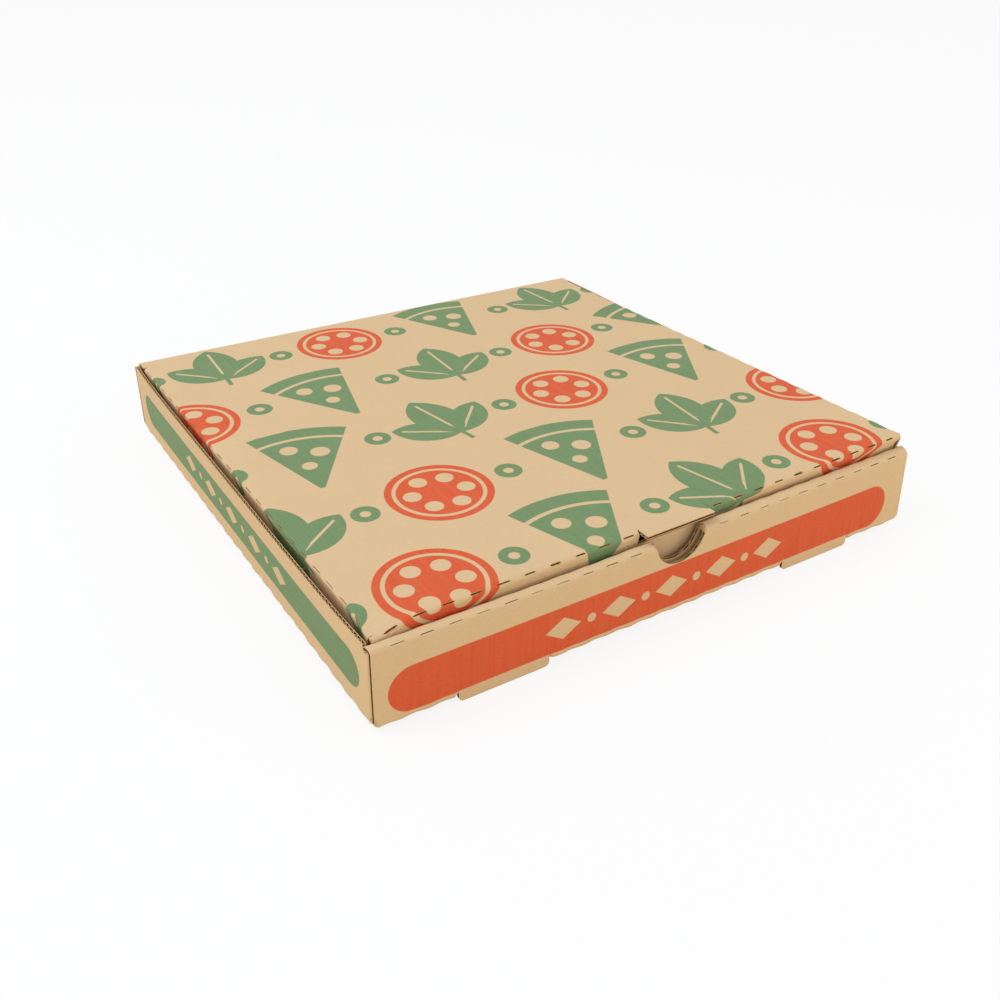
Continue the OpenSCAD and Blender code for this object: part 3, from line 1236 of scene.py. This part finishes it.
FRONT_BAR = {"low": 2.4, "high": 23.8, "start": -137, "end": 131.5}
SIDE_BAR = {"low": 8.4, "high": 26.6, "start": -132.5, "end": 130}
BAR_PITCH = 28
BAR_PITCHES = 2.4
DIAMOND_SLOPE = 0.62
DIAMOND_SHARE = 0.5
DOT_SHARE = 0.2


def bar(graph, along, height, low, high, start, end):
    """Bar with round ends and a row of bare diamonds and dots at its middle."""
    radius = (high - low) / 2
    from_middle = graph.math("ABSOLUTE", graph.minus(along, (start + end) / 2))
    past_end = graph.minus(from_middle, (end - start) / 2 - radius)
    past_end = graph.math("MAXIMUM", past_end, 0.0)
    rise = graph.minus(height, (low + high) / 2)
    shape = graph.minus(graph.vector("LENGTH", graph.combine(past_end, rise)), radius)
    folded = graph.math("PINGPONG", from_middle, BAR_PITCH / 2)
    slope = graph.math("MULTIPLY_ADD", folded, DIAMOND_SLOPE, graph.math("ABSOLUTE", rise))
    diamond = graph.minus(slope, radius * DIAMOND_SHARE)
    dot = disc(graph, graph.combine(folded, rise), (BAR_PITCH / 2, 0.0), radius * DOT_SHARE)
    past_row = graph.minus(from_middle, BAR_PITCH * BAR_PITCHES)
    row = overlap(graph, union(graph, diamond, dot), past_row)
    return without(graph, shape, row)


def tray_print(graph, place, paper):
    """A red bar on the front wall and a green bar on each side wall."""
    u, v = split(graph, place)
    front_height = graph.minus(graph.times(v, -1.0), HALF_V + SQUARE - FOLD)
    side_height = graph.minus(graph.math("ABSOLUTE", u), HALF_U + SQUARE - FOLD)
    red = coverage(graph, bar(graph, u, front_height, **FRONT_BAR))
    green = coverage(graph, bar(graph, v, side_height, **SIDE_BAR))
    paper = inked(graph, place, paper, green, GREEN)
    return inked(graph, place, paper, red, RED), graph.math("ADD", green, red)


def printed_liner(name, colour, printing):
    graph, place = paper_graph(name)
    paper = kraft(graph, place, colour)
    colour, cover = printing(graph, place, paper)
    surface(graph, place, colour, graph.span(cover, 0.0, 1.0, PAPER_ROUGHNESS, INK_ROUGHNESS))
    return graph.owner


def plain_liner(name, colour):
    graph, place = paper_graph(name)
    surface(graph, place, kraft(graph, place, colour), INSIDE_ROUGHNESS)
    return graph.owner


def raw_paper(name, colour):
    """Torn or cut paper: brown, uneven and rough. The same material also paints the shade inside the
    grooves of cut edges.
    """
    graph, place = paper_graph(name)
    shade = uneven(graph, place, low=0.78, high=1.15, scale=0.8, detail=3.0, roughness=0.6)
    surface(graph, place, shaded(graph, colour, shade), RAW_ROUGHNESS, washboard=0.0)
    return graph.owner


# Stage
FLOOR_HALF = 12.0
FLOOR_WARM = (0.88, 0.78, 0.60, 1.0)
FLOOR_WHITE = (0.95, 0.95, 0.95, 1.0)
GLOW_SHARE = 0.86
AMBIENT = 0.72
BACKDROP = 0.96


def make_floor():
    mesh = bpy.data.meshes.new("floor")
    corners = rectangle(-FLOOR_HALF, FLOOR_HALF, -FLOOR_HALF, FLOOR_HALF)
    mesh.from_pydata([(x, y, 0) for x, y in corners], [], [(0, 1, 2, 3)])
    floor = new_object("floor", mesh)
    mesh.materials.append(floor_material())


def seen_directly(graph):
    """One for camera, glossy and transmission rays, and nothing for the light on the object."""
    rays = graph.node("ShaderNodeLightPath", {}).outputs
    total = rays["Is Camera Ray"]
    for name in ("Is Glossy Ray", "Is Transmission Ray"):
        total = graph.math("MAXIMUM", total, rays[name])
    return total


def floor_material():
    """White paper that still takes the shadow, and lights the walls a little warmly."""
    graph = Graph(bpy.data.materials.new("white_paper"))
    graph.tree.nodes.clear()
    seen = seen_directly(graph)
    colour = graph.mix(seen, FLOOR_WARM, FLOOR_WHITE)
    paper = graph.node("ShaderNodeBsdfDiffuse", {"Color": colour}).outputs[0]
    glow = graph.node("ShaderNodeEmission", {}).outputs[0]
    share = graph.times(seen, GLOW_SHARE)
    mixed = graph.node("ShaderNodeMixShader", {"Fac": share, 1: paper, 2: glow}).outputs[0]
    graph.node("ShaderNodeOutputMaterial", {"Surface": mixed})
    return graph.owner


def make_world():
    world = bpy.data.worlds.new("studio")
    bpy.context.scene.world = world
    graph = Graph(world)
    background = graph.tree.nodes["Background"]
    background.inputs["Color"].default_value = (1.0, 1.0, 1.0, 1.0)
    strength = graph.span(seen_directly(graph), 0.0, 1.0, AMBIENT, BACKDROP)
    graph.plug(background.inputs["Strength"], strength)


def make_light(name, place, size, power, colour):
    lamp = bpy.data.lights.new(name, "AREA")
    lamp.color = colour
    lamp.shape = "DISK"
    lamp.size = size
    lamp.energy = power
    light = new_object(name, lamp)
    light.location = place
    light.rotation_euler = (-Vector(place)).to_track_quat("-Z", "Y").to_euler()


# Camera, from the box's edges in the photograph
AZIMUTH = math.radians(-33.043)
ELEVATION = math.radians(31.011)
ROLL = math.radians(1.191)
DISTANCE = 1.946
FOCAL_PIXELS = 1054.9
IMAGE_PIXELS = 1000
SHIFT_RIGHT = 0.007
SHIFT_UP = -0.058


def make_camera():
    back = Vector((
        math.sin(AZIMUTH) * math.cos(ELEVATION),
        -math.cos(AZIMUTH) * math.cos(ELEVATION),
        math.sin(ELEVATION),
    ))
    level = (-back).cross(Vector((0, 0, 1))).normalized()
    upright = level.cross(-back)
    right = math.cos(ROLL) * level + math.sin(ROLL) * upright
    up = right.cross(-back)
    target = Vector((0, 0, FOOT_DROP)) + BOX_W * (SHIFT_RIGHT * right + SHIFT_UP * up)
    data = bpy.data.cameras.new("camera")
    data.sensor_width = 36
    data.lens = data.sensor_width * FOCAL_PIXELS / IMAGE_PIXELS
    data.clip_start = 0.01
    camera = new_object("camera", data)
    turn = Matrix((right, up, back)).transposed().to_4x4()
    camera.matrix_world = Matrix.Translation((target + back * DISTANCE * BOX_W) * MM) @ turn
    bpy.context.scene.camera = camera


# Scene
bpy.context.scene.view_settings.view_transform = "Standard"
make_camera()
make_world()
make_floor()
make_light("key", place=(-1.0, 0.3, 1.35), size=0.9, power=9.0, colour=(0.84, 0.90, 1.0))
make_light("fill", place=(0.55, -0.75, 0.35), size=0.4, power=1.1, colour=(1.0, 0.92, 0.78))

inside_liner = plain_liner("inside_liner", KRAFT_INSIDE)
cut_liner = raw_paper("cut_liner", CUT_LINER)
fluting = raw_paper("fluting", FLUTING)
# Painted shade inside the grooves of cut edges
painted_groove_shade = raw_paper("painted_groove_shade", GROOVE_SHADE)
tray_liner = printed_liner("tray_liner", KRAFT, tray_print)
lid_liner = printed_liner("lid_liner", KRAFT, lid_print)
plain_kraft = plain_liner("plain_kraft", KRAFT)

board = [inside_liner, cut_liner, fluting, painted_groove_shade]
tray = make_tray([tray_liner, *board])
lid = make_lid([lid_liner, *board])
hinge_crease = make_hinge_crease([plain_kraft, *board])

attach(tray, "tray")
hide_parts("tray")
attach(lid, "lid")
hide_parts("lid")
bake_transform(hinge_crease)
